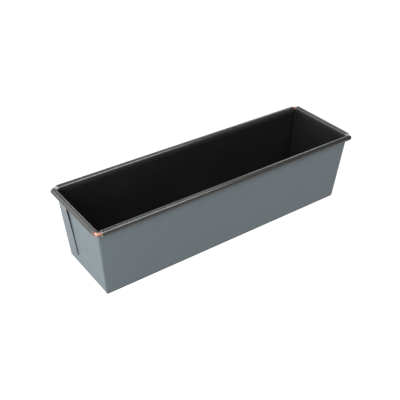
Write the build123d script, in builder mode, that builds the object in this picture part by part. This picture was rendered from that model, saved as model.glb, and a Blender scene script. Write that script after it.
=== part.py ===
from build123d import *
import os
from math import asin, atan, atan2, cos, degrees, hypot, pi, sin, sqrt, tan

# Long, tapered loaf pan folded from one blank of sheet steel, its top edges rolled over a wire hoop.
# Millimetres. +X runs along the pan, +Y to the rear and +Z up.
# The origin is the middle of the underside of the base, so z = 0 is the surface that the pan stands on.

# Driving dimensions
OVERALL_LENGTH = 306.0    # over the rolled rims
OVERALL_WIDTH = 90.0      # over the rolled rims
OVERALL_HEIGHT = 77.5     # underside of the base to the top of the rolled rims
BASE_LENGTH = 283.0       # outside, where the end walls' planes meet the ground
BASE_WIDTH = 70.0         # outside, where the long walls' planes meet the ground
SHEET = 0.6               # steel sheet with its outside lacquer
COATING = 0.1             # non-stick lining on the inside
WIRE_RADIUS = 2.35        # steel wire of the rim hoop
WIRE_PLAY = 0.05          # radial room between the wire and the sheet rolled over it
WIRE_BEND = 3.0           # corner radius of the hoop, at the wire's axis
ROLL_GAP = 3.5            # how far each roll stops short of the crossing of the wire's axes
ROLL_WRAP = 300.0         # degrees that the sheet goes round the wire
FOLD_BORE = 0.5           # inside radius of every fold in the sheet
CORNER_EASE = 0.05        # how much rounder the upright corners of the base and lining are than their folds
FOLD_TOP = 1.4            # height where the base's folds have become flat wall
CORNER_FLAT = 2.0         # flat that each lap tab keeps on the long wall, beside its corner fold
LAP_WIDTH = 18.4          # how far a lap tab reaches along the end wall
LAP_FOOT = 12.0           # height of the foot of a lap tab's free edge
RIM_FOOT = 71.7           # height where the walls and lap tabs end and the rolled rims begin

# Worked out from the driving dimensions
FOLD_RADIUS = FOLD_BORE + SHEET
ROLL_BORE = WIRE_RADIUS + WIRE_PLAY
ROLL_RADIUS = ROLL_BORE + SHEET
WIRE_HALF_LENGTH = OVERALL_LENGTH / 2 - ROLL_RADIUS
WIRE_HALF_WIDTH = OVERALL_WIDTH / 2 - ROLL_RADIUS
WIRE_HEIGHT = OVERALL_HEIGHT - ROLL_RADIUS


def wall_lean(run):
    """Angle from vertical of a wall whose outer face starts at the base and touches the roll's bore."""
    up_to_wire = atan2(WIRE_HEIGHT, run)
    turned_in = asin(ROLL_BORE / hypot(run, WIRE_HEIGHT))
    return pi / 2 - up_to_wire - turned_in


END_RUN = WIRE_HALF_LENGTH - BASE_LENGTH / 2
SIDE_RUN = WIRE_HALF_WIDTH - BASE_WIDTH / 2
END_LEAN = wall_lean(END_RUN)
SIDE_LEAN = wall_lean(SIDE_RUN)
END_NORMAL = Vector(cos(END_LEAN), 0, -sin(END_LEAN))
SIDE_NORMAL = Vector(0, cos(SIDE_LEAN), -sin(SIDE_LEAN))


def half_length(height, inset=0.0):
    """Half of the pan's length between the end walls' outer planes, each moved in by inset."""
    return BASE_LENGTH / 2 + height * tan(END_LEAN) - inset / cos(END_LEAN)


def half_width(height, inset=0.0):
    """Half of the pan's width between the long walls' outer planes, each moved in by inset."""
    return BASE_WIDTH / 2 + height * tan(SIDE_LEAN) - inset / cos(SIDE_LEAN)


def tapered_block(inset, top, fold_radius):
    """Solid that fills the pan up to a height, its floor and its four walls' planes moved in by inset."""
    with BuildPart() as block:
        for height in (inset, top):
            length = 2 * half_length(height, inset)
            width = 2 * half_width(height, inset)
            with BuildSketch(Plane.XY.offset(height)):
                RectangleRounded(length, width, fold_radius + CORNER_EASE)
        loft(ruled=True)
        fillet(block.faces().sort_by(Axis.Z)[0].edges(), fold_radius)
    return block.part


def wall_plate(face, lean, foot_half, top_half):
    """Flat wall between the base's fold and the rolled rim, sunk by one sheet from its outer face."""
    foot = FOLD_TOP / cos(lean)
    top = RIM_FOOT / cos(lean)
    with BuildPart() as plate:
        with BuildSketch(face):
            with BuildLine():
                Polyline((-foot_half, foot), (foot_half, foot), (top_half, top), (-top_half, top), close=True)
            make_face()
        extrude(amount=-SHEET)
    return plate.part


def roll_section(run, lean):
    """Section of a rolled rim about the wire's axis: a short strip of wall, then the roll."""
    start_angle = 180 - degrees(lean)
    strip_length = sqrt(hypot(run, WIRE_HEIGHT) ** 2 - ROLL_BORE ** 2) - RIM_FOOT / cos(lean)
    strip = Vector(sin(lean), cos(lean)) * strip_length
    with BuildSketch() as section:
        with BuildLine():
            outside = CenterArc((0, 0), ROLL_RADIUS, start_angle, -ROLL_WRAP)
            bore = CenterArc((0, 0), ROLL_BORE, start_angle, -ROLL_WRAP)
            Line(outside @ 1, bore @ 1)
            Polyline(outside @ 0, outside @ 0 - strip, bore @ 0 - strip, bore @ 0)
        make_face()
    return section.sketch


# Base, with the folds that turn up into the walls
with BuildPart() as base_panel:
    add(tapered_block(0, FOLD_TOP, FOLD_RADIUS))
    add(tapered_block(SHEET, FOLD_TOP + SHEET, FOLD_BORE), mode=Mode.SUBTRACT)

# End walls: flat plates whose outer side edges are rounded to sit in the corner folds
end_face = Plane(origin=(BASE_LENGTH / 2, 0, 0), x_dir=(0, 1, 0), z_dir=END_NORMAL)
with BuildPart() as right_end_wall:
    add(wall_plate(end_face, END_LEAN, half_width(FOLD_TOP, SHEET), half_width(RIM_FOOT, SHEET)))
    outer_edges = right_end_wall.faces().filter_by(end_face).sort_by(Axis.X)[-1].edges().sort_by(Axis.Y)
    fillet([outer_edges[0], outer_edges[-1]], FOLD_BORE)

with BuildPart() as left_end_wall:
    mirror(right_end_wall.part, about=Plane.YZ)

# Long walls: flat plates that stop where the lap tabs' corner folds take over
side_face = Plane(origin=(0, BASE_WIDTH / 2, 0), x_dir=(-1, 0, 0), z_dir=SIDE_NORMAL)
corner_tilt = atan(cos(SIDE_LEAN) * tan(END_LEAN))
plate_stop = CORNER_FLAT / cos(corner_tilt)
with BuildPart() as rear_wall:
    add(
        wall_plate(
            side_face,
            SIDE_LEAN,
            half_length(FOLD_TOP, -SHEET) - plate_stop,
            half_length(RIM_FOOT, -SHEET) - plate_stop,
        )
    )

with BuildPart() as front_wall:
    mirror(rear_wall.part, about=Plane.XZ)

# Lap tabs: the long wall's sheet folded round the corner and laid flat on the outside of the end wall.
# The section is square to the corner edge: a stub of long wall, the fold, then the tab.
corner_foot = Vector(half_length(0, -SHEET), half_width(0), 0)
corner_edge = Vector(tan(END_LEAN), tan(SIDE_LEAN), 1).normalized()
along_side = corner_edge.cross(SIDE_NORMAL).normalized()
along_end = END_NORMAL.cross(corner_edge).normalized()
corner_plane = Plane(origin=corner_foot, x_dir=along_side, z_dir=corner_edge)
tab_run = Vector(along_end.dot(corner_plane.x_dir), along_end.dot(corner_plane.y_dir))
tab_depth = Vector(tab_run.Y, -tab_run.X)
edge_foot = corner_foot + corner_edge * LAP_FOOT + along_end * LAP_WIDTH
fold_foot = corner_foot + corner_edge * FOLD_TOP
lower_end = Plane(origin=fold_foot, x_dir=END_NORMAL, z_dir=(edge_foot - fold_foot).cross(END_NORMAL))
with BuildPart() as rear_right_lap_tab:
    with BuildSketch(corner_plane) as tab_section:
        with BuildLine():
            Polyline(
                (CORNER_FLAT, 0),
                (0, 0),
                tab_run * LAP_WIDTH,
                tab_run * LAP_WIDTH + tab_depth * SHEET,
                (SHEET * (1 + tab_run.X) / tab_run.Y, SHEET),
                (CORNER_FLAT, SHEET),
                close=True,
            )
        make_face()
        fillet(tab_section.vertices().sort_by_distance((0, 0, 0))[0], FOLD_RADIUS)
        fillet(tab_section.vertices().sort_by_distance((SHEET, SHEET, 0))[0], FOLD_BORE)
    extrude(amount=OVERALL_HEIGHT)
    split(bisect_by=Plane.XY.offset(RIM_FOOT), keep=Keep.BOTTOM)
    split(bisect_by=lower_end, keep=Keep.TOP)

with BuildPart() as rear_left_lap_tab:
    mirror(rear_right_lap_tab.part, about=Plane.YZ)

with BuildPart() as front_right_lap_tab:
    mirror(rear_right_lap_tab.part, about=Plane.XZ)

with BuildPart() as front_left_lap_tab:
    mirror(rear_left_lap_tab.part, about=Plane.XZ)

# Rolled rims: each runs straight and stops short of the corners, where the wire bends in the open
with BuildPart() as rear_rim_roll:
    with BuildSketch(Plane(origin=(0, WIRE_HALF_WIDTH, WIRE_HEIGHT), x_dir=(0, 1, 0), z_dir=(1, 0, 0))):
        add(roll_section(SIDE_RUN, SIDE_LEAN))
    extrude(amount=WIRE_HALF_LENGTH - ROLL_GAP, both=True)

with BuildPart() as front_rim_roll:
    mirror(rear_rim_roll.part, about=Plane.XZ)

with BuildPart() as right_rim_roll:
    with BuildSketch(Plane(origin=(WIRE_HALF_LENGTH, 0, WIRE_HEIGHT), x_dir=(1, 0, 0), z_dir=(0, -1, 0))):
        add(roll_section(END_RUN, END_LEAN))
    extrude(amount=WIRE_HALF_WIDTH - ROLL_GAP, both=True)

with BuildPart() as left_rim_roll:
    mirror(right_rim_roll.part, about=Plane.YZ)

# Rim wire: one closed hoop, bare at the four corners
with BuildPart() as rim_wire:
    with BuildLine(Plane.XY.offset(WIRE_HEIGHT)) as hoop:
        FilletPolyline(
            (WIRE_HALF_LENGTH, -WIRE_HALF_WIDTH),
            (WIRE_HALF_LENGTH, WIRE_HALF_WIDTH),
            (-WIRE_HALF_LENGTH, WIRE_HALF_WIDTH),
            (-WIRE_HALF_LENGTH, -WIRE_HALF_WIDTH),
            radius=WIRE_BEND,
            close=True,
        )
    hoop_line = hoop.wires()[0]
    with BuildSketch(Plane(origin=hoop_line @ 0, z_dir=hoop_line % 0)):
        Circle(WIRE_RADIUS)
    sweep()

# Non-stick lining: a thin skin over the inside of the base and walls
with BuildPart() as nonstick_lining:
    add(tapered_block(SHEET, RIM_FOOT, FOLD_BORE))
    add(tapered_block(SHEET + COATING, RIM_FOOT + SHEET, FOLD_BORE - COATING), mode=Mode.SUBTRACT)

pieces = {
    "base_panel": base_panel,
    "front_wall": front_wall,
    "rear_wall": rear_wall,
    "left_end_wall": left_end_wall,
    "right_end_wall": right_end_wall,
    "front_left_lap_tab": front_left_lap_tab,
    "front_right_lap_tab": front_right_lap_tab,
    "rear_left_lap_tab": rear_left_lap_tab,
    "rear_right_lap_tab": rear_right_lap_tab,
    "front_rim_roll": front_rim_roll,
    "rear_rim_roll": rear_rim_roll,
    "left_rim_roll": left_rim_roll,
    "right_rim_roll": right_rim_roll,
    "rim_wire": rim_wire,
    "nonstick_lining": nonstick_lining,
}
os.makedirs("parts", exist_ok=True)
for name, piece in pieces.items():
    piece.part.label = name
    export_step(piece.part, f"parts/{name}.step")
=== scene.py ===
import functools
import math

import bmesh
import bpy
from mathutils import Matrix, Vector, noise


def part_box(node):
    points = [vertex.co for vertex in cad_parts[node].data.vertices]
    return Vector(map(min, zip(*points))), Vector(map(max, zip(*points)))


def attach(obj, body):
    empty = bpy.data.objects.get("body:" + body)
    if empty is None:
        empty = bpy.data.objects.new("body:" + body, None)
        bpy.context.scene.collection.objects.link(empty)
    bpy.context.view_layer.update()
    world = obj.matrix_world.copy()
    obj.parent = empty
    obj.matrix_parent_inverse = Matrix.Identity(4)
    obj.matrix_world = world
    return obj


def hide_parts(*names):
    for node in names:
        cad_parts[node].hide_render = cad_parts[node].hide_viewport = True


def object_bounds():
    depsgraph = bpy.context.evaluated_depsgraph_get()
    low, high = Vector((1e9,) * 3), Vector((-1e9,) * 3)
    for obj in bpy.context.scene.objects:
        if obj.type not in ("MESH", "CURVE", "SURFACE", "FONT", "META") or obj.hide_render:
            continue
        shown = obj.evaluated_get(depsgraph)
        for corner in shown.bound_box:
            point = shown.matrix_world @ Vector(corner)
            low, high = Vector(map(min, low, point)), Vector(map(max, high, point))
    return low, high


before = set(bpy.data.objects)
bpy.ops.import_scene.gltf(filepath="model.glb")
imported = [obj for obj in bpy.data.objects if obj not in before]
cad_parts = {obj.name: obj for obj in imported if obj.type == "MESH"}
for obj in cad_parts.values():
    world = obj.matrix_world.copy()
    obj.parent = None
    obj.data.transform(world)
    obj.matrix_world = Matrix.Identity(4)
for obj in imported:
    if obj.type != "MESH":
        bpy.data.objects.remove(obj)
cad_low, cad_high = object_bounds()

# A long, tapered loaf pan in folded sheet steel, rebuilt in detail round its CAD frame.
# Metres. +X runs along the pan, +Y to the rear and +Z up. The pan stands on z = 0.
MM = 0.001

# Places and sizes read from the frame
base_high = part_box("base_panel")[1]
rear_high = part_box("rear_wall")[1]
end_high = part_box("right_end_wall")[1]
wire_low, wire_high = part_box("rim_wire")
FOLD_TOP = base_high.z
RIM_FOOT = rear_high.z
WIRE_RADIUS = (wire_high.z - wire_low.z) / 2
WIRE_HEIGHT = (wire_high.z + wire_low.z) / 2
WIRE_HALF_LENGTH = wire_high.x - WIRE_RADIUS
WIRE_HALF_WIDTH = wire_high.y - WIRE_RADIUS
ROLL_RADIUS = cad_high.z - WIRE_HEIGHT

# The same gauge, folds and lap tabs as the CAD
SHEET = 0.6 * MM                 # steel sheet with its outside lacquer
COATING = 0.1 * MM               # non-stick lining on the inside
ROLL_WRAP = math.radians(300)    # how far the sheet goes round the wire
FOLD_RADIUS = 1.1 * MM           # outside radius of the base's folds
FOLD_BORE = 0.5 * MM             # their inside radius
CORNER_EASE = 0.05 * MM          # how much rounder the upright corners are than the folds
CORNER_FLAT = 2.0 * MM           # flat that each lap tab keeps on the long wall, beside its corner fold
LAP_REACH = 18.4 * MM            # how far a lap tab reaches along the end wall
LAP_FOOT = 12.0 * MM             # height of the foot of a lap tab's free edge
ROLL_BORE = ROLL_RADIUS - SHEET

# What a real pan has and the CAD leaves plain
TAB_FOLD_TOP = 1.5 * MM          # outside radius of a lap tab's corner fold, under the rim
TAB_LIFT = 1.0 * MM              # how far the top of a tab's free edge stands off the end wall
TAB_CURVE = 1.6                  # power of its outward curve from the corner to the free edge
TAB_CLEARANCE = 0.35 * MM        # room between a tab's top edge and the roll above it
FLOOR_DISH = 0.25 * MM           # rise of the middle of the base
DISH_REACH_X = 60 * MM           # how far in from the end folds the floor has risen by all of it
DISH_REACH_Y = 26 * MM           # the same from the side folds
WALL_BOW = 0.30 * MM             # inward bow of the middle of a wall
WALL_RIPPLE = 0.10 * MM          # slow unevenness of the sheet
ROLL_RIPPLE = 0.05 * MM          # deepest dent in the roll's outside
DENT_MEAN = 0.6                  # mean depth of the dents, as a share of the deepest
DENT_SPREAD = 0.4                # how far a dent's depth is from that mean at most
DENT_SIZE = 30 * MM              # length of a dent along the roll
LINING_FEATHER = 1.0 * MM        # height over which the lining thins out under the rim
LINING_TOP_COAT = 0.015 * MM     # what is left of it there
LINING_POOL = 0.9 * MM           # radius of the coating pooled in the pan's upright corners
CORNER_RISE = 3.0 * MM           # how far the folded corners go up between the ends of the rolls
STRIP_GAP = 3.6 * MM             # how far a roll's foot stops short of the crossing of the wire's axes
WIRE_BEND = 2.5 * MM             # corner radius of the hoop, bent as tight as the wire allows
WIRE_NECK = 0.60 * MM            # how much smaller the wire's radius is where it is stretched round a corner
WIRE_NECK_REACH = 8.0 * MM       # how far from the crossing of its axes it is full size again
WIRE_ROUGHNESS = 0.02 * MM       # half of the deepest hollow in the drawn wire's surface
WIRE_GRAIN = 4 * MM              # length of those hollows
CUT_BEVEL = 0.07 * MM            # rounding of the sheared edges
RIPPLE_SIZE = 45 * MM            # length of the walls' unevenness
EDGE_FADE = 16 * MM              # width of the band along a wall's edges where its swell dies away
EDGE_ROOM = 3 * MM               # flat strip kept beside the corners
SHARP_ANGLE = math.radians(38)   # a turn above this is a real edge, not a curve

END_LEAN = math.atan((end_high.x - base_high.x) / (RIM_FOOT - FOLD_TOP))
SIDE_LEAN = math.atan((rear_high.y - base_high.y) / (RIM_FOOT - FOLD_TOP))
BASE_HALF_LENGTH = base_high.x - FOLD_TOP * math.tan(END_LEAN)
BASE_HALF_WIDTH = base_high.y - FOLD_TOP * math.tan(SIDE_LEAN)

# How far each roll stops short of the crossing of the wire's axes: (at its inner top, at its outer side)
ROLL_GAPS = {
    ("front", -1): (4.0 * MM, 3.8 * MM),
    ("left", -1): (3.5 * MM, 3.3 * MM),
    ("left", 1): (2.6 * MM, 2.2 * MM),
    ("rear", -1): (4.6 * MM, 4.2 * MM),
    ("rear", 1): (5.6 * MM, 5.0 * MM),
    ("right", 1): (2.8 * MM, 2.2 * MM),
    ("front", 1): (4.2 * MM, 1.0 * MM),
    ("right", -1): (4.6 * MM, 4.4 * MM),
}


def mix(a, b, share):
    """Value between a and b."""
    return a + (b - a) * share


def smooth(x):
    """0 below 0, 1 above 1 and an S-curve between."""
    x = min(max(x, 0.0), 1.0)
    return x * x * (3 - 2 * x)


def steps(first, last, count):
    """Evenly spaced values, both ends included."""
    return [mix(first, last, i / count) for i in range(count + 1)]


def half_length(height, inset=0.0):
    """Half of the pan's length between the end walls' outer planes, each moved in by inset."""
    return BASE_HALF_LENGTH + height * math.tan(END_LEAN) - inset / math.cos(END_LEAN)


def half_width(height, inset=0.0):
    """Half of the pan's width between the long walls' outer planes, each moved in by inset."""
    return BASE_HALF_WIDTH + height * math.tan(SIDE_LEAN) - inset / math.cos(SIDE_LEAN)


# Walls are described by how far along they a point is, its height, and its depth below the outer face.
WALLS = {
    "front": {"along": Vector((1, 0, 0)), "out": Vector((0, -1, 0)), "long": True, "seed": 3.1},
    "rear": {"along": Vector((1, 0, 0)), "out": Vector((0, 1, 0)), "long": True, "seed": 11.7},
    "left": {"along": Vector((0, 1, 0)), "out": Vector((-1, 0, 0)), "long": False, "seed": 23.9},
    "right": {"along": Vector((0, 1, 0)), "out": Vector((1, 0, 0)), "long": False, "seed": 37.3},
}


def wall_span(wall, height):
    """Half of a wall's clear width between the pan's corners."""
    return half_length(height) if WALLS[wall]["long"] else half_width(height)


def wall_swell(wall, along, height):
    """How far the sheet stands out from its plane: nothing at the edges, a slow bow and ripple inside."""
    side_room = (wall_span(wall, height) - EDGE_ROOM - abs(along)) / EDGE_FADE
    foot_room = (height - FOLD_TOP) / EDGE_FADE
    top_room = (RIM_FOOT - height) / EDGE_FADE
    window = smooth(side_room) * smooth(foot_room) * smooth(top_room)
    spot = Vector((along / RIPPLE_SIZE, height / RIPPLE_SIZE, WALLS[wall]["seed"]))
    return window * (WALL_RIPPLE * noise.noise(spot) - WALL_BOW)


def wall_point(wall, along, height, depth):
    """Point of a wall's sheet."""
    place = WALLS[wall]
    reach = half_width(height, depth) if place["long"] else half_length(height, depth)
    reach += wall_swell(wall, along, height)
    return place["along"] * along + place["out"] * reach + Vector((0, 0, height))


# ---------------------------------------------------------------- mesh helpers


def shell(name, outer, inner, cuts=(), ring=False, floor=False):
    """Closed sheet between two grids of points with the same rows and columns.

    cuts names the borders that are sheared edges: "first_row", "last_row", "first_column", "last_column".
    ring joins the last column to the first. floor closes the first row's ring with a flat face on both sides.
    """
    rows, columns = len(outer), len(outer[0])
    bm = bmesh.new()
    weight = bm.edges.layers.float.new("bevel_weight_edge")
    top = [[bm.verts.new(p) for p in row] for row in outer]
    under = [[bm.verts.new(p) for p in row] for row in inner]

    def border(upper, lower, is_cut):
        """Strip that closes the sheet along one border."""
        pairs = list(zip(upper, lower))
        for (a, b), (c, d) in zip(pairs, pairs[1:]):
            face = bm.faces.new((a, c, d, b))
            face.material_index = 1 if is_cut else 0
            if is_cut:
                bm.edges.get((a, c))[weight] = 1.0
                bm.edges.get((b, d))[weight] = 1.0

    last = columns if ring else columns - 1
    for i in range(rows - 1):
        for j in range(last):
            k = (j + 1) % columns
            bm.faces.new((top[i][j], top[i + 1][j], top[i + 1][k], top[i][k]))
            bm.faces.new((under[i][j], under[i][k], under[i + 1][k], under[i + 1][j]))
    closing = [0] if ring else []
    across = list(range(columns)) + closing
    border([top[-1][j] for j in across], [under[-1][j] for j in across], "last_row" in cuts)
    if floor:
        bm.faces.new(top[0])
        bm.faces.new(list(reversed(under[0])))
    else:
        border([top[0][j] for j in across], [under[0][j] for j in across], "first_row" in cuts)
    if not ring:
        border([row[0] for row in top], [row[0] for row in under], "first_column" in cuts)
        border([row[-1] for row in top], [row[-1] for row in under], "last_column" in cuts)
    bmesh.ops.recalc_face_normals(bm, faces=bm.faces)
    return mesh_object(name, bm)


def mesh_object(name, bm):
    """Object made from a bmesh, shaded smooth except at real edges."""
    mesh = bpy.data.meshes.new(name)
    bm.to_mesh(mesh)
    bm.free()
    mesh.shade_smooth()
    mesh.set_sharp_from_angle(angle=SHARP_ANGLE)
    piece = bpy.data.objects.new(name, mesh)
    bpy.context.scene.collection.objects.link(piece)
    return piece


def round_cut_edges(piece):
    """Takes the knife edge off the sheared borders."""
    bevel = piece.modifiers.new("cut_edge_rounding", "BEVEL")
    bevel.limit_method = "WEIGHT"
    bevel.width = CUT_BEVEL
    bevel.segments = 2
    bevel.use_clamp_overlap = True


def install(piece, node, materials):
    """Puts a finished piece in the place of its CAD node."""
    for material in materials:
        piece.data.materials.append(material)
    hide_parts(node)
    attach(piece, "root")
    return piece


# ---------------------------------------------------------------- material helpers


class Recipe:
    """A node material being written: a Principled shader and short ways to add the nodes that feed it."""

    def __init__(self, name):
        self.material = bpy.data.materials.new(name)
        self.material.use_nodes = True
        self.nodes = self.material.node_tree.nodes
        self.links = self.material.node_tree.links
        self.shader = self.nodes["Principled BSDF"]
        self.place = self.nodes.new("ShaderNodeTexCoord").outputs["Object"]

    def set(self, **values):
        """Numbers and colours that are the same all over, on the shader's own sockets."""
        for key, value in values.items():
            self.shader.inputs[key.replace("_", " ")].default_value = value

    def feed(self, source, socket):
        """Links a node's output to one of the shader's sockets."""
        self.links.new(source, self.shader.inputs[socket])

    def stretched(self, scale):
        """Object coordinates multiplied by a scale for each axis."""
        node = self.nodes.new("ShaderNodeMapping")
        node.inputs["Scale"].default_value = scale
        self.links.new(self.place, node.inputs["Vector"])
        return node.outputs["Vector"]

    def noise(self, scale, detail=3.0, roughness=0.5, place=None, distortion=0.0):
        """Soft noise, scale in cycles per metre."""
        node = self.nodes.new("ShaderNodeTexNoise")
        node.inputs["Scale"].default_value = scale
        node.inputs["Detail"].default_value = detail
        node.inputs["Roughness"].default_value = roughness
        node.inputs["Distortion"].default_value = distortion
        self.links.new(place or self.place, node.inputs["Vector"])
        return node.outputs["Fac"]

    def speckle(self, scale):
        """Distance to scattered points, for grains and specks."""
        node = self.nodes.new("ShaderNodeTexVoronoi")
        node.inputs["Scale"].default_value = scale
        self.links.new(self.place, node.inputs["Vector"])
        return node.outputs["Distance"]

    def span(self, value, low, high, start, end):
        """Maps low..high of a value to start..end, held at both ends."""
        node = self.nodes.new("ShaderNodeMapRange")
        for key, number in (("From Min", low), ("From Max", high), ("To Min", start), ("To Max", end)):
            node.inputs[key].default_value = number
        self.links.new(value, node.inputs["Value"])
        return node.outputs["Result"]

    def maths(self, operation, a, b):
        """One operation on two values, each a socket or a number."""
        node = self.nodes.new("ShaderNodeMath")
        node.operation = operation
        for socket, value in zip(node.inputs, (a, b)):
            if isinstance(value, bpy.types.NodeSocket):
                self.links.new(value, socket)
            else:
                socket.default_value = value
        return node.outputs["Value"]

    def colours(self, value, *stops):
        """Colour ramp over a value: stops are (position, (r, g, b))."""
        node = self.nodes.new("ShaderNodeValToRGB")
        ramp = node.color_ramp
        while len(ramp.elements) < len(stops):
            ramp.elements.new(1.0)
        for element, (position, colour) in zip(ramp.elements, stops):
            element.position = position
            element.color = (*colour, 1.0)
        self.links.new(value, node.inputs["Fac"])
        return node.outputs["Color"]

    def blend(self, share, under, over):
        """Two colours mixed by a share."""
        node = self.nodes.new("ShaderNodeMix")
        node.data_type = "RGBA"
        self.links.new(share, node.inputs["Factor"])
        self.links.new(under, node.inputs["A"])
        self.links.new(over, node.inputs["B"])
        return node.outputs["Result"]

    def part(self, axis):
        """One of the object coordinates, in metres."""
        node = self.nodes.new("ShaderNodeSeparateXYZ")
        self.links.new(self.place, node.inputs["Vector"])
        return node.outputs[axis]

    def bumps(self, *layers):
        """Bump layers, each (height socket, distance in metres, strength), over each other."""
        normal = None
        for height, distance, strength in layers:
            node = self.nodes.new("ShaderNodeBump")
            node.inputs["Distance"].default_value = distance
            node.inputs["Strength"].default_value = strength
            self.links.new(height, node.inputs["Height"])
            if normal is not None:
                self.links.new(normal, node.inputs["Normal"])
            normal = node.outputs["Normal"]
        self.feed(normal, "Normal")


# ---------------------------------------------------------------- materials


def grey_lacquer():
    """Satin blue-grey baked lacquer: faint cloudiness, rolling streaks under it, fine orange peel and a
    painted contact shadow along the bottom fold.
    """
    m = Recipe("grey_lacquer")
    cloud = m.noise(14, detail=4, roughness=0.55)
    body = m.colours(cloud, (0.30, (0.059, 0.073, 0.081)), (0.70, (0.064, 0.079, 0.087)))
    streak = m.noise(60, detail=2, place=m.stretched((0.12, 0.12, 1.0)))
    streaked = m.colours(streak, (0.35, (0.0600, 0.0745, 0.0825)), (0.65, (0.0630, 0.0775, 0.0855)))
    colour = m.blend(m.span(cloud, 0.35, 0.65, 0.2, 0.5), body, streaked)
    speck = m.span(m.speckle(900), 0.03, 0.10, 1.0, 0.0)
    sparse = m.span(m.noise(240, detail=1), 0.66, 0.70, 0.0, 0.5)
    dust = m.colours(cloud, (0.0, (0.18, 0.21, 0.22)), (1.0, (0.22, 0.25, 0.26)))
    colour = m.blend(m.maths("MULTIPLY", speck, sparse), colour, dust)
    # Painted contact shadow: the fold that the pan stands on is coloured dark, and its lacquer is made dull
    # there
    contact_shadow_share = m.span(m.part("Z"), 0.6 * MM, 2.2 * MM, 0.9, 0.0)
    painted_contact_shadow = m.colours(cloud, (0.0, (0.020, 0.026, 0.030)), (1.0, (0.028, 0.034, 0.038)))
    m.feed(m.blend(contact_shadow_share, colour, painted_contact_shadow), "Base Color")
    fold_dull = m.span(m.part("Z"), 0.5 * MM, 2.0 * MM, 0.5, 0.0)
    m.feed(m.maths("ADD", m.span(m.noise(120, detail=5), 0.3, 0.7, 0.37, 0.47), fold_dull), "Roughness")
    m.set(Metallic=0.0, Specular_IOR_Level=0.26)
    m.bumps(
        (m.noise(1100, detail=2), 0.02 * MM, 0.35),
        (m.noise(4200, detail=1), 0.006 * MM, 0.25),
        (streak, 0.05 * MM, 0.10),
    )
    return m.material


def black_nonstick():
    """Semi-gloss black non-stick coating: sprayed grain, tiny pale flecks and a few dull rubs."""
    m = Recipe("black_nonstick")
    cloud = m.noise(22, detail=4, roughness=0.6)
    body = m.colours(cloud, (0.3, (0.0038, 0.0038, 0.0036)), (0.7, (0.0056, 0.0055, 0.0052)))
    fleck = m.span(m.speckle(1300), 0.03, 0.08, 1.0, 0.0)
    thin = m.span(m.noise(500, detail=1), 0.60, 0.66, 0.0, 0.35)
    pale = m.colours(cloud, (0.0, (0.05, 0.05, 0.048)), (1.0, (0.07, 0.07, 0.066)))
    m.feed(m.blend(m.maths("MULTIPLY", fleck, thin), body, pale), "Base Color")
    rub = m.noise(70, detail=5, roughness=0.65, distortion=0.4)
    m.feed(m.span(rub, 0.30, 0.75, 0.34, 0.40), "Roughness")
    m.set(Metallic=0.0, Specular_IOR_Level=0.24)
    m.bumps(
        (m.noise(1500, detail=3), 0.02 * MM, 0.30),
        (m.speckle(2600), 0.006 * MM, 0.25),
    )
    return m.material


def rim_black():
    """The same coating stretched round the rim: darker at its foot, like the inside, as painted shade under
    the roll; greyer and shinier on top.
    """
    m = Recipe("rim_black")
    height = m.span(m.part("Z"), RIM_FOOT + 0.3 * MM, RIM_FOOT + 3.2 * MM, 0.0, 1.0)
    # painted shade: the lower half of the roll is coloured darker than its top
    foot = m.colours(height, (0.0, (0.0062, 0.0062, 0.0060)), (1.0, (0.0080, 0.0080, 0.0077)))
    cloud = m.noise(35, detail=4, roughness=0.6)
    body = m.colours(cloud, (0.3, (0.013, 0.014, 0.013)), (0.7, (0.018, 0.019, 0.018)))
    scuff = m.noise(420, detail=3, place=m.stretched((0.35, 0.35, 1.0)))
    rubbed = m.colours(cloud, (0.0, (0.026, 0.027, 0.026)), (1.0, (0.034, 0.035, 0.034)))
    top = m.blend(m.span(scuff, 0.58, 0.76, 0.0, 0.5), body, rubbed)
    m.feed(m.blend(height, foot, top), "Base Color")
    polish = m.span(m.noise(160, detail=4), 0.3, 0.7, 0.15, 0.22)
    m.feed(m.maths("ADD", polish, m.span(height, 0.0, 1.0, 0.17, 0.0)), "Roughness")
    m.set(Metallic=0.0, Specular_IOR_Level=0.28)
    m.bumps(
        (m.noise(1300, detail=2), 0.008 * MM, 0.20),
        (scuff, 0.008 * MM, 0.15),
    )
    return m.material


def coppered_wire():
    """Drawn steel wire under a thin copper wash, rubbed off in patches, with more steel colour at two
    opposite corners as a painted reflection.
    """
    m = Recipe("coppered_wire")
    # painted reflection: the two corners where x times y is negative are pushed towards the pale steel colour
    diagonal = m.maths("MULTIPLY", m.part("X"), m.part("Y"))
    opposite = m.span(diagonal, -0.002, 0.002, 0.16, -0.16)
    patch = m.maths("ADD", m.noise(130, detail=3, roughness=0.6, distortion=0.3), opposite)
    copper = m.colours(
        m.noise(480, detail=4),
        (0.25, (0.21, 0.105, 0.078)),
        (0.55, (0.27, 0.155, 0.120)),
        (0.80, (0.32, 0.215, 0.175)),
    )
    steel = m.colours(patch, (0.2, (0.25, 0.24, 0.23)), (0.8, (0.33, 0.32, 0.31)))
    m.feed(m.blend(m.span(patch, 0.50, 0.60, 0.0, 0.85), copper, steel), "Base Color")
    m.feed(m.span(m.noise(700, detail=3), 0.3, 0.7, 0.56, 0.70), "Roughness")
    m.set(Metallic=1.0)
    m.bumps(
        (m.noise(2200, detail=2), 0.02 * MM, 0.30),
        (patch, 0.05 * MM, 0.20),
    )
    return m.material


def cut_steel():
    """Sheared edge of the sheet: bare grey steel with the shear's fine lines."""
    m = Recipe("cut_steel")
    grain = m.noise(1800, detail=3, place=m.stretched((1.0, 1.0, 0.25)))
    m.feed(m.colours(grain, (0.3, (0.36, 0.35, 0.34)), (0.7, (0.56, 0.55, 0.53))), "Base Color")
    m.feed(m.span(grain, 0.3, 0.7, 0.32, 0.50), "Roughness")
    m.set(Metallic=1.0)
    m.bumps((grain, 0.03 * MM, 0.40))
    return m.material


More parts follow.
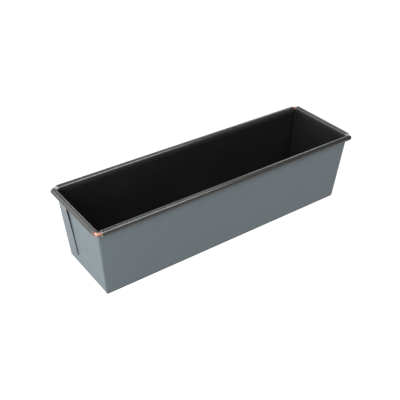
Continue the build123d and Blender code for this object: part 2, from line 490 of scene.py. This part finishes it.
def shadowed_cut_edge():
    """Sheared edge, coloured near-black as painted shade so that it reads as the shadow line along a lap
    tab's free edge.
    """
    m = Recipe("shadowed_cut_edge")
    grain = m.noise(1500, detail=3, place=m.stretched((1.0, 1.0, 0.3)))
    m.feed(m.colours(grain, (0.3, (0.012, 0.015, 0.017)), (0.7, (0.024, 0.029, 0.032))), "Base Color")
    m.feed(m.span(grain, 0.3, 0.7, 0.45, 0.62), "Roughness")
    m.set(Metallic=0.0, Specular_IOR_Level=0.3)
    m.bumps((grain, 0.02 * MM, 0.30))
    return m.material


LACQUER = grey_lacquer()
NONSTICK = black_nonstick()
RIM_BLACK = rim_black()
WIRE_METAL = coppered_wire()
CUT_STEEL = cut_steel()
SHADOWED_CUT_EDGE = shadowed_cut_edge()


# ---------------------------------------------------------------- base and lining

CORNER_STEPS = 6
LONG_STEPS = 40
SHORT_STEPS = 14
BEND_STEPS = 7
LINING_STEPS = 20
BEND_END = math.radians(84)      # the last ring of a bend, just short of the wall's own slope

# Rings of the floor, each as a share of the floor's half width in from its edge
FLOOR_SHARES = (0.93, 0.80, 0.62, 0.44, 0.26, 0.12, 0.04, 0.01)


def rounded_ring(half_x, half_y, radius, lift):
    """Points round a rounded rectangle, counter-clockwise; lift(x, y) gives each one's height."""
    straight_x = half_x - radius
    straight_y = half_y - radius
    points = []
    corners = (
        (1, -1, -90, SHORT_STEPS),
        (1, 1, 0, LONG_STEPS),
        (-1, 1, 90, SHORT_STEPS),
        (-1, -1, 180, LONG_STEPS),
    )
    for (side_x, side_y, start, count), (next_x, next_y, _, _) in zip(corners, corners[1:] + corners[:1]):
        for k in range(CORNER_STEPS + 1):
            turn = math.radians(start + 90 * k / CORNER_STEPS)
            x = side_x * straight_x + radius * math.cos(turn)
            y = side_y * straight_y + radius * math.sin(turn)
            points.append((x, y))
        x, y = points[-1]
        next_turn = math.radians(start + 90)
        end_x = next_x * straight_x + radius * math.cos(next_turn)
        end_y = next_y * straight_y + radius * math.sin(next_turn)
        points += [(mix(x, end_x, k / count), mix(y, end_y, k / count)) for k in range(1, count)]
    return [Vector((x, y, lift(x, y))) for x, y in points]


def folded_extent(height, inset, radius, plane, lean):
    """Half extent of a tray at a height above its floor, round a fold that turns up into the wall."""
    centre = plane(inset + radius, inset + radius)
    if height < radius * (1 - math.sin(lean)):
        return centre + math.sqrt(radius**2 - (radius - height) ** 2)
    return plane(inset + height, inset)


def floor_height(inset, x, y):
    """Height of a point of the floor, dished up a little in the middle."""
    room_x = (half_length(0) - abs(x)) / DISH_REACH_X
    room_y = (half_width(0) - abs(y)) / DISH_REACH_Y
    return inset + FLOOR_DISH * smooth(room_x) * smooth(room_y)


def tray_rings(inset, radius, heights, corner_radius):
    """Rings of a tray's one face: in along the floor, round the fold and up the walls."""
    floor_x = folded_extent(0, inset, radius, half_length, END_LEAN)
    floor_y = folded_extent(0, inset, radius, half_width, SIDE_LEAN)
    lift = functools.partial(floor_height, inset)
    rings = []
    for share in FLOOR_SHARES:
        shrink = share * floor_y
        rings.append(rounded_ring(floor_x - shrink, floor_y - shrink, CORNER_EASE, lift))
    for height in heights:
        x = folded_extent(height, inset, radius, half_length, END_LEAN)
        y = folded_extent(height, inset, radius, half_width, SIDE_LEAN)
        turned = min(x - floor_x, radius) / radius
        plan_radius = mix(CORNER_EASE, corner_radius, turned)
        rings.append(rounded_ring(x, y, plan_radius, lambda a, b: inset + height))
    return rings


def fold_heights(radius):
    """Heights of the rings round a fold, above the floor."""
    return [radius * (1 - math.cos(turn)) for turn in steps(0, BEND_END, BEND_STEPS)]


def make_base():
    """Floor of the pan with the folds that turn up into the walls."""
    outer_heights = fold_heights(FOLD_RADIUS) + [FOLD_TOP]
    outer = tray_rings(0, FOLD_RADIUS, outer_heights, FOLD_RADIUS + CORNER_EASE)
    inner_heights = fold_heights(FOLD_BORE) + [FOLD_TOP - SHEET]
    inner = tray_rings(SHEET, FOLD_BORE, inner_heights, FOLD_BORE + CORNER_EASE)
    piece = shell("base_panel_sheet", outer, inner, ring=True, floor=True)
    return install(piece, "base_panel", [LACQUER, SHADOWED_CUT_EDGE])


RISE_REACH = 1.8                 # how far the lining's raised corner reaches, in lengths of LINING_POOL
ON_WALL = 0.1 * MM               # a lining point nearer to a wall's plane than this lies on that wall


def swollen(point, inset):
    """Moves a lining point with the wall behind it."""
    x, y, z = point
    flat_x = abs(x) < half_length(z, inset) - ON_WALL
    flat_y = abs(y) < half_width(z, inset) - ON_WALL
    if flat_x and not flat_y:
        wall = "rear" if y > 0 else "front"
        return Vector((x, y + math.copysign(1, y) * wall_swell(wall, x, z), z))
    if flat_y and not flat_x:
        wall = "right" if x > 0 else "left"
        return Vector((x + math.copysign(1, x) * wall_swell(wall, y, z), y, z))
    return point


def lining_top(x, y):
    """Height of the lining's top edge: under the rolls, and a little higher in the corners between them."""
    from_corner = half_length(RIM_FOOT, SHEET) - abs(x) + half_width(RIM_FOOT, SHEET) - abs(y)
    return RIM_FOOT + CORNER_RISE * smooth(RISE_REACH - from_corner / LINING_POOL)


def lining_face(inset, radius, corner_radius, feather):
    """One face of the lining; feather moves its top towards the sheet, so that it thins out there."""
    wall_heights = steps(FOLD_TOP, RIM_FOOT - LINING_FEATHER, LINING_STEPS)
    heights = fold_heights(radius) + [h - inset for h in wall_heights]
    rings = tray_rings(inset, radius, heights, corner_radius)
    top = rounded_ring(
        half_length(RIM_FOOT, inset - feather),
        half_width(RIM_FOOT, inset - feather),
        corner_radius,
        lining_top,
    )
    rings.append(top)
    first_wall_ring = len(rings) - len(wall_heights) - 1
    for k in range(first_wall_ring, len(rings)):
        rings[k] = [swollen(p, inset) for p in rings[k]]
    return rings


def make_lining():
    """Non-stick coating over the inside of the base and walls."""
    outer = lining_face(SHEET, FOLD_BORE, FOLD_BORE + CORNER_EASE, 0.0)
    inner = lining_face(SHEET + COATING, FOLD_BORE - COATING, LINING_POOL, COATING - LINING_TOP_COAT)
    piece = shell("nonstick_lining_skin", outer, inner, ring=True, floor=True)
    return install(piece, "nonstick_lining", [NONSTICK, NONSTICK])


# ---------------------------------------------------------------- walls

WALL_STEPS = 16


def wall_edge(wall, height):
    """Where a wall's sheet stops along its length: at the lap tab's stub, or inside the corner fold."""
    if WALLS[wall]["long"]:
        return half_length(height, -SHEET) - CORNER_FLAT / math.cos(END_LEAN)
    return half_width(height, SHEET)


def make_wall(wall, node):
    """Flat wall between the base's fold and the rolled rim, bowed in a little."""
    columns = LONG_STEPS if WALLS[wall]["long"] else SHORT_STEPS
    shares = steps(-1, 1, columns)
    heights = steps(FOLD_TOP, RIM_FOOT, WALL_STEPS)

    def face(depth):
        return [
            [wall_point(wall, share * wall_edge(wall, height), height, depth) for share in shares]
            for height in heights
        ]

    piece = shell(f"{node}_sheet", face(0), face(SHEET))
    return install(piece, node, [LACQUER, SHADOWED_CUT_EDGE])


# ---------------------------------------------------------------- lap tabs

FOLD_STEPS = 8
TAB_STEPS = 22

# Columns of a lap tab: on the long wall, where the corner starts to rise, and on the end wall
STUB_SHARES = (0.0, 0.5, 0.89, 0.94)
RISE_START = 0.9
RISE_SLOPE = 1.8                 # above 1, so that the fold keeps its full rise over its first part
FLAP_SHARES = (0.01, 0.06, 0.18, 0.32, 0.46, 0.60, 0.74, 0.86, 0.94, 1.0)
CLEARANCE_START = 4              # a tab's top edge has its full clearance from a quarter of the tab on


def tab_column(kind, share, height):
    """Outer and inner point of a lap tab's section at a height, in the +X +Y corner.

    kind is "stub" on the long wall, "fold" round the corner or "tab" on the end wall; share runs 0 to 1.
    """
    rise = (height - FOLD_TOP) / (RIM_FOOT - FOLD_TOP)
    radius = mix(FOLD_RADIUS, TAB_FOLD_TOP, smooth(rise))
    corner_x = half_length(min(height, RIM_FOOT), -SHEET)
    corner_y = half_width(height)
    if kind == "stub":
        start = corner_x - CORNER_FLAT / math.cos(END_LEAN)
        x = mix(start, corner_x - radius, share)
        return (x, corner_y), (x, half_width(height, SHEET))
    if kind == "fold":
        turn = math.radians(90 * (1 - share))
        centre = Vector((corner_x - radius, corner_y - radius))
        ray = Vector((math.cos(turn), math.sin(turn)))
        bore = radius - SHEET
        return tuple(centre + ray * radius), tuple(centre + ray * bore)
    y = mix(corner_y - radius, corner_y - LAP_REACH, share)
    up_the_edge = smooth((height - LAP_FOOT) / (RIM_FOOT - LAP_FOOT))
    lifted = TAB_LIFT * up_the_edge**2 * share**TAB_CURVE
    return (corner_x + lifted, y), (corner_x - SHEET / math.cos(END_LEAN) + lifted, y)


def fold_rise(kind, share):
    """How far the folded corner goes up between the ends of the two rolls."""
    if kind == "stub":
        return CORNER_RISE if share > RISE_START else 0.0
    if kind == "fold":
        return CORNER_RISE * smooth(RISE_SLOPE * (1 - share))
    return 0.0


def make_lap_tab(node, side_x, side_y):
    """The long wall's sheet folded round the corner and laid on the outside of the end wall."""
    columns = [("stub", s) for s in STUB_SHARES]
    columns += [("fold", s) for s in steps(0, 1, FOLD_STEPS)]
    columns += [("tab", s) for s in FLAP_SHARES]
    outer, inner = [], []
    for i in range(TAB_STEPS + 1):
        outer_row, inner_row = [], []
        for kind, share in columns:
            along_tab = share if kind == "tab" else 0.0
            foot = mix(FOLD_TOP, LAP_FOOT, along_tab)
            top = RIM_FOOT - TAB_CLEARANCE * smooth(along_tab * CLEARANCE_START) + fold_rise(kind, share)
            height = mix(foot, top, i / TAB_STEPS)
            for (x, y), row in zip(tab_column(kind, share, height), (outer_row, inner_row)):
                row.append(Vector((side_x * x, side_y * y, height)))
        outer.append(outer_row)
        inner.append(inner_row)
    piece = shell(f"{node}_sheet", outer, inner, cuts=("last_column",))
    round_cut_edges(piece)
    return install(piece, node, [LACQUER, SHADOWED_CUT_EDGE])


# ---------------------------------------------------------------- rolled rims

WRAP_STEPS = 48
LONG_ROLL_STEPS = 60
END_ROLL_STEPS = 24
STRIP_BACKS = (1.0, 0.5, 0.08)   # points down the strip below the wrap, as shares of the strip
TOP_SHARE = 0.12                 # share of the wrap where a roll's end has reached its inner top
SIDE_SHARE = 0.5                 # share where it has reached its outer side
DENT_START = 8                   # the dents have their full depth from one eighth of the wrap on
DENT_TURN = 2.0                  # how many lengths of a dent the wrap goes round


def roll_section(run, lean):
    """Section of a rolled rim about the wire's axis, as (outward, up) pairs for its outside and its bore.

    It starts with a short strip of wall and goes on round the wire. Each entry has its share of the wrap.
    """
    start = math.pi - lean
    flat = math.sqrt(run**2 + WIRE_HEIGHT**2 - ROLL_BORE**2) - RIM_FOOT / math.cos(lean)
    strip = Vector((math.sin(lean), math.cos(lean))) * flat
    section = []
    for back in STRIP_BACKS:
        ray = Vector((math.cos(start), math.sin(start)))
        section.append((ray * ROLL_RADIUS - strip * back, ray * ROLL_BORE - strip * back, -back))
    for share in steps(0, 1, WRAP_STEPS):
        turn = start - ROLL_WRAP * share
        ray = Vector((math.cos(turn), math.sin(turn)))
        section.append((ray * ROLL_RADIUS, ray * ROLL_BORE, share))
    return section


def roll_gap(wall, side, share):
    """How far a roll stops short of the crossing of the wire's axes, at a share of its wrap."""
    inner_gap, outer_gap = ROLL_GAPS[(wall, side)]
    if share < TOP_SHARE:
        return mix(STRIP_GAP, inner_gap, smooth(share / TOP_SHARE))
    if share < SIDE_SHARE:
        return mix(inner_gap, outer_gap, smooth((share - TOP_SHARE) / (SIDE_SHARE - TOP_SHARE)))
    return mix(outer_gap, max(inner_gap, outer_gap), smooth((share - SIDE_SHARE) / (1 - SIDE_SHARE)))


def make_roll(wall, node):
    """Top edge of a wall curled outward round the wire."""
    place = WALLS[wall]
    if place["long"]:
        run, lean = WIRE_HALF_WIDTH - BASE_HALF_WIDTH, SIDE_LEAN
        axis_reach, half_run, rows = WIRE_HALF_WIDTH, WIRE_HALF_LENGTH, LONG_ROLL_STEPS
    else:
        run, lean = WIRE_HALF_LENGTH - BASE_HALF_LENGTH, END_LEAN
        axis_reach, half_run, rows = WIRE_HALF_LENGTH, WIRE_HALF_WIDTH, END_ROLL_STEPS
    section = roll_section(run, lean)
    outer, inner = [], []
    for i in range(rows + 1):
        outer_row, inner_row = [], []
        for outside, bore, share in section:
            low = -(half_run - roll_gap(wall, -1, share))
            high = half_run - roll_gap(wall, 1, share)
            along = mix(low, high, i / rows)
            spot = Vector((along / DENT_SIZE, share * DENT_TURN, place["seed"]))
            depth = DENT_MEAN + DENT_SPREAD * noise.noise(spot)
            dent = ROLL_RIPPLE * depth * smooth(share * DENT_START)
            pressed = outside * (1 - dent / ROLL_RADIUS)
            for point, row in ((pressed, outer_row), (bore, inner_row)):
                across = axis_reach + point.x
                height = WIRE_HEIGHT + point.y
                row.append(place["along"] * along + place["out"] * across + Vector((0, 0, height)))
        outer.append(outer_row)
        inner.append(inner_row)
    piece = shell(f"{node}_curl", outer, inner, cuts=("first_row", "last_row", "last_column"))
    round_cut_edges(piece)
    return install(piece, node, [RIM_BLACK, CUT_STEEL])


# ---------------------------------------------------------------- rim wire

WIRE_AROUND = 28
WIRE_BEND_STEPS = 12

# Stations along a straight run of the hoop, closer where the wire thins towards the corners
WIRE_STATIONS = (0.005, 0.015, 0.03, 0.05, 0.08, 0.25, 0.5, 0.75, 0.92, 0.95, 0.97, 0.985, 0.995)
NECK_SLOPE = 1.5                 # above 1, so that the whole bend is as thin as the neck


def wire_neck(point):
    """How much smaller the wire's radius is at a point of its axis."""
    from_corner = max(WIRE_HALF_LENGTH - abs(point.x), WIRE_HALF_WIDTH - abs(point.y))
    return WIRE_NECK * smooth(NECK_SLOPE * (1 - from_corner / WIRE_NECK_REACH))


def make_wire():
    """Closed hoop of round wire, bent tight at the corners."""
    path = []
    straight_x = WIRE_HALF_LENGTH - WIRE_BEND
    straight_y = WIRE_HALF_WIDTH - WIRE_BEND
    for side_x, side_y, start in ((1, -1, -90), (1, 1, 0), (-1, 1, 90), (-1, -1, 180)):
        for k in range(WIRE_BEND_STEPS + 1):
            turn = math.radians(start + 90 * k / WIRE_BEND_STEPS)
            ray = Vector((math.cos(turn), math.sin(turn), 0))
            centre = Vector((side_x * straight_x, side_y * straight_y, WIRE_HEIGHT))
            path.append((centre + ray * WIRE_BEND, ray, k in (0, WIRE_BEND_STEPS)))
    stations = []
    for (point, ray, at_end), (next_point, _, next_end) in zip(path, path[1:] + path[:1]):
        stations.append((point, ray))
        if at_end and next_end:
            stations += [(mix(point, next_point, s), ray) for s in WIRE_STATIONS]
    bm = bmesh.new()
    rings = []
    for point, ray in stations:
        ring = []
        for k in range(WIRE_AROUND):
            turn = 2 * math.pi * k / WIRE_AROUND
            offset = ray * math.cos(turn) + Vector((0, 0, 1)) * math.sin(turn)
            spot = (point + offset * WIRE_RADIUS) / WIRE_GRAIN
            rough = WIRE_ROUGHNESS * (noise.noise(spot) + 1)
            ring.append(bm.verts.new(point + offset * (WIRE_RADIUS - rough - wire_neck(point))))
        rings.append(ring)
    for ring, following in zip(rings, rings[1:] + rings[:1]):
        for k in range(WIRE_AROUND):
            after = (k + 1) % WIRE_AROUND
            bm.faces.new((ring[k], following[k], following[after], ring[after]))
    bmesh.ops.recalc_face_normals(bm, faces=bm.faces)
    piece = mesh_object("rim_wire_hoop", bm)
    return install(piece, "rim_wire", [WIRE_METAL])


# ---------------------------------------------------------------- assembly

make_base()
make_lining()
for wall, node in (
    ("front", "front_wall"),
    ("rear", "rear_wall"),
    ("left", "left_end_wall"),
    ("right", "right_end_wall"),
):
    make_wall(wall, node)
for depth, side_y in (("front", -1), ("rear", 1)):
    for hand, side_x in (("left", -1), ("right", 1)):
        make_lap_tab(f"{depth}_{hand}_lap_tab", side_x, side_y)
for wall in WALLS:
    make_roll(wall, f"{wall}_rim_roll")
make_wire()


# ---------------------------------------------------------------- floor, light and camera

FLOOR_REACH = 6.0                # half of the floor's width
FLOOR_DROP = 0.05 * MM


def make_floor():
    """Plain white studio floor, a hair below the pan."""
    bm = bmesh.new()
    corners = ((-1, -1), (1, -1), (1, 1), (-1, 1))
    bm.faces.new([bm.verts.new((x * FLOOR_REACH, y * FLOOR_REACH, -FLOOR_DROP)) for x, y in corners])
    floor = mesh_object("studio_floor", bm)
    m = Recipe("studio_white")
    tone = m.noise(3, detail=2)
    m.feed(m.colours(tone, (0.0, (0.055, 0.055, 0.055)), (1.0, (0.065, 0.065, 0.065))), "Base Color")
    m.set(Roughness=0.9, Specular_IOR_Level=0.0, Emission_Color=(1, 1, 1, 1), Emission_Strength=1.0)
    floor.data.materials.append(m.material)


def soft_light(name, azimuth, elevation, distance, width, height, power, target=(0, 0, 0.05)):
    """Rectangular soft light that faces a target, placed round it as the camera is."""
    a, e = math.radians(azimuth), math.radians(elevation)
    back = Vector((math.sin(a) * math.cos(e), -math.cos(a) * math.cos(e), math.sin(e)))
    data = bpy.data.lights.new(name, "AREA")
    data.shape = "RECTANGLE"
    data.size = width
    data.size_y = height
    data.energy = power
    light = bpy.data.objects.new(name, data)
    light.location = Vector(target) + back * distance
    light.rotation_mode = "QUATERNION"
    light.rotation_quaternion = back.to_track_quat("Z", "Y")
    bpy.context.scene.collection.objects.link(light)


def make_world(strength):
    """Even white surroundings."""
    world = bpy.data.worlds.new("studio")
    world.use_nodes = True
    background = world.node_tree.nodes["Background"]
    background.inputs["Color"].default_value = (1, 1, 1, 1)
    background.inputs["Strength"].default_value = strength
    bpy.context.scene.world = world


CAMERA_AZIMUTH = math.radians(-37.39)
CAMERA_ELEVATION = math.radians(33.13)
CAMERA_ROLL = math.radians(1.43)
CAMERA_DISTANCE = 0.67565
CAMERA_AIM = Vector((0, 0, 0.040))
CAMERA_SENSOR = 36.0             # the sensor's width and the lens, in millimetres
CAMERA_LENS = 60.19
CAMERA_SHIFT_X = -0.0288
CAMERA_SHIFT_Y = -0.0229


def make_camera():
    """Camera above the front left corner, as a catalogue picture is taken."""
    back = Vector(
        (
            math.sin(CAMERA_AZIMUTH) * math.cos(CAMERA_ELEVATION),
            -math.cos(CAMERA_AZIMUTH) * math.cos(CAMERA_ELEVATION),
            math.sin(CAMERA_ELEVATION),
        )
    )
    level = Vector((0, 0, 1)).cross(back).normalized()
    upright = back.cross(level)
    right = level * math.cos(CAMERA_ROLL) + upright * math.sin(CAMERA_ROLL)
    up = upright * math.cos(CAMERA_ROLL) - level * math.sin(CAMERA_ROLL)
    data = bpy.data.cameras.new("camera")
    data.sensor_width = CAMERA_SENSOR
    data.lens = CAMERA_LENS
    data.shift_x = CAMERA_SHIFT_X
    data.shift_y = CAMERA_SHIFT_Y
    data.clip_start = 0.01
    camera = bpy.data.objects.new("camera", data)
    turned = Matrix((right, up, back)).transposed().to_4x4()
    camera.matrix_world = Matrix.Translation(CAMERA_AIM + back * CAMERA_DISTANCE) @ turned
    bpy.context.scene.collection.objects.link(camera)
    bpy.context.scene.camera = camera


make_floor()
make_world(0.20)
soft_light("key_left", azimuth=-108, elevation=36, distance=0.95, width=1.6, height=1.3, power=24)
soft_light(
    "near_left",
    azimuth=-90,
    elevation=28,
    distance=0.36,
    width=0.40,
    height=0.24,
    power=1.9,
    target=(-0.15, 0, 0.06),
)
soft_light("fill_left", azimuth=-52, elevation=24, distance=0.65, width=0.35, height=0.35, power=3.2)
soft_light("front_box", azimuth=24, elevation=47, distance=1.0, width=0.46, height=0.42, power=10.0)
soft_light("top_box", azimuth=75, elevation=68, distance=0.9, width=0.32, height=0.32, power=1.3)
soft_light("rear_right_box", azimuth=125, elevation=38, distance=1.2, width=0.42, height=0.38, power=3.4)
soft_light("rear_left_box", azimuth=155, elevation=33, distance=1.2, width=0.42, height=0.25, power=2.1)
make_camera()
bpy.context.scene.view_settings.view_transform = "Standard"
